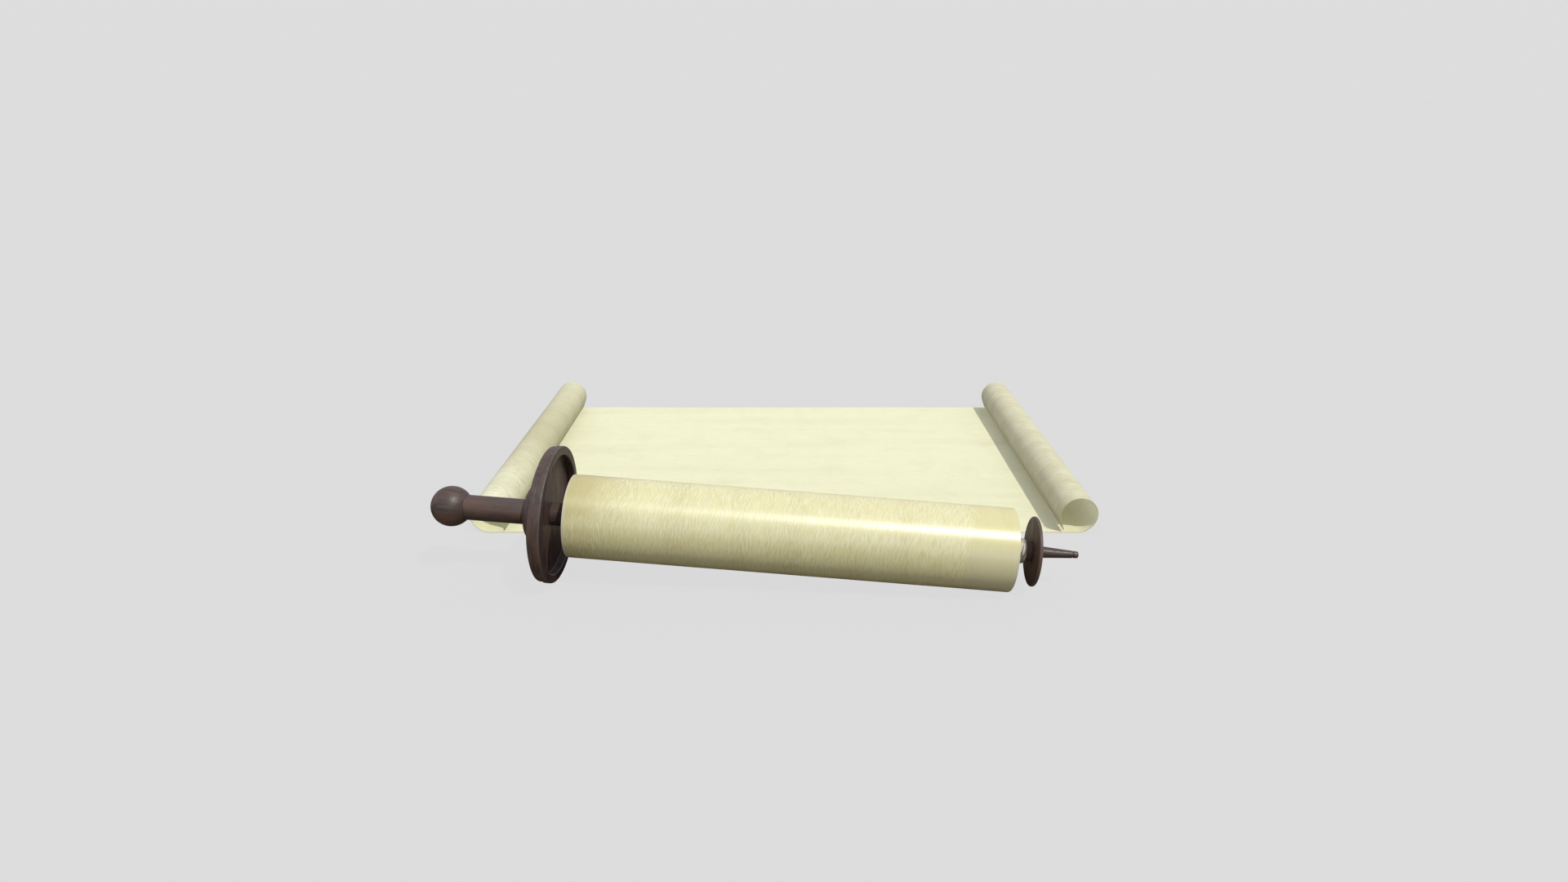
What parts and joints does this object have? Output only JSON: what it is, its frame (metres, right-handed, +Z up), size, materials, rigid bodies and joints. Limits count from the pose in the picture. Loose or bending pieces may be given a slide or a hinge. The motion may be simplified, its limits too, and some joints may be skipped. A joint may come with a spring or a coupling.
{
  "type": "open torah scroll",
  "caption": "Open parchment scroll: a blank sheet lying flat with both ends curled into tubes, and in front of it a turned wooden roller with wound parchment, discs and a ball grip.",
  "frame": {"origin": "middle of the whole object's footprint, on the surface that it lies on", "axes": "+X along the opened parchment, from the ball grip towards the spindle; +Y away from the roller, along the sheet's height; +Z up"},
  "size_m": [0.7226, 0.6194, 0.1407],
  "materials": {
    "parchment": "matt scraped skin, pale cream",
    "wound_parchment": "burnished skin, yellow cream with fine streaks round the roll",
    "dark_wood": "dark walnut brown, satin"
  },
  "bodies": {
    "root": {"parchment_sheet": "parchment", "parchment_roll": "wound_parchment", "core_rod": "dark_wood", "large_disc": "dark_wood", "small_disc": "dark_wood", "ball_handle": "dark_wood"}
  },
  "joints": []
}
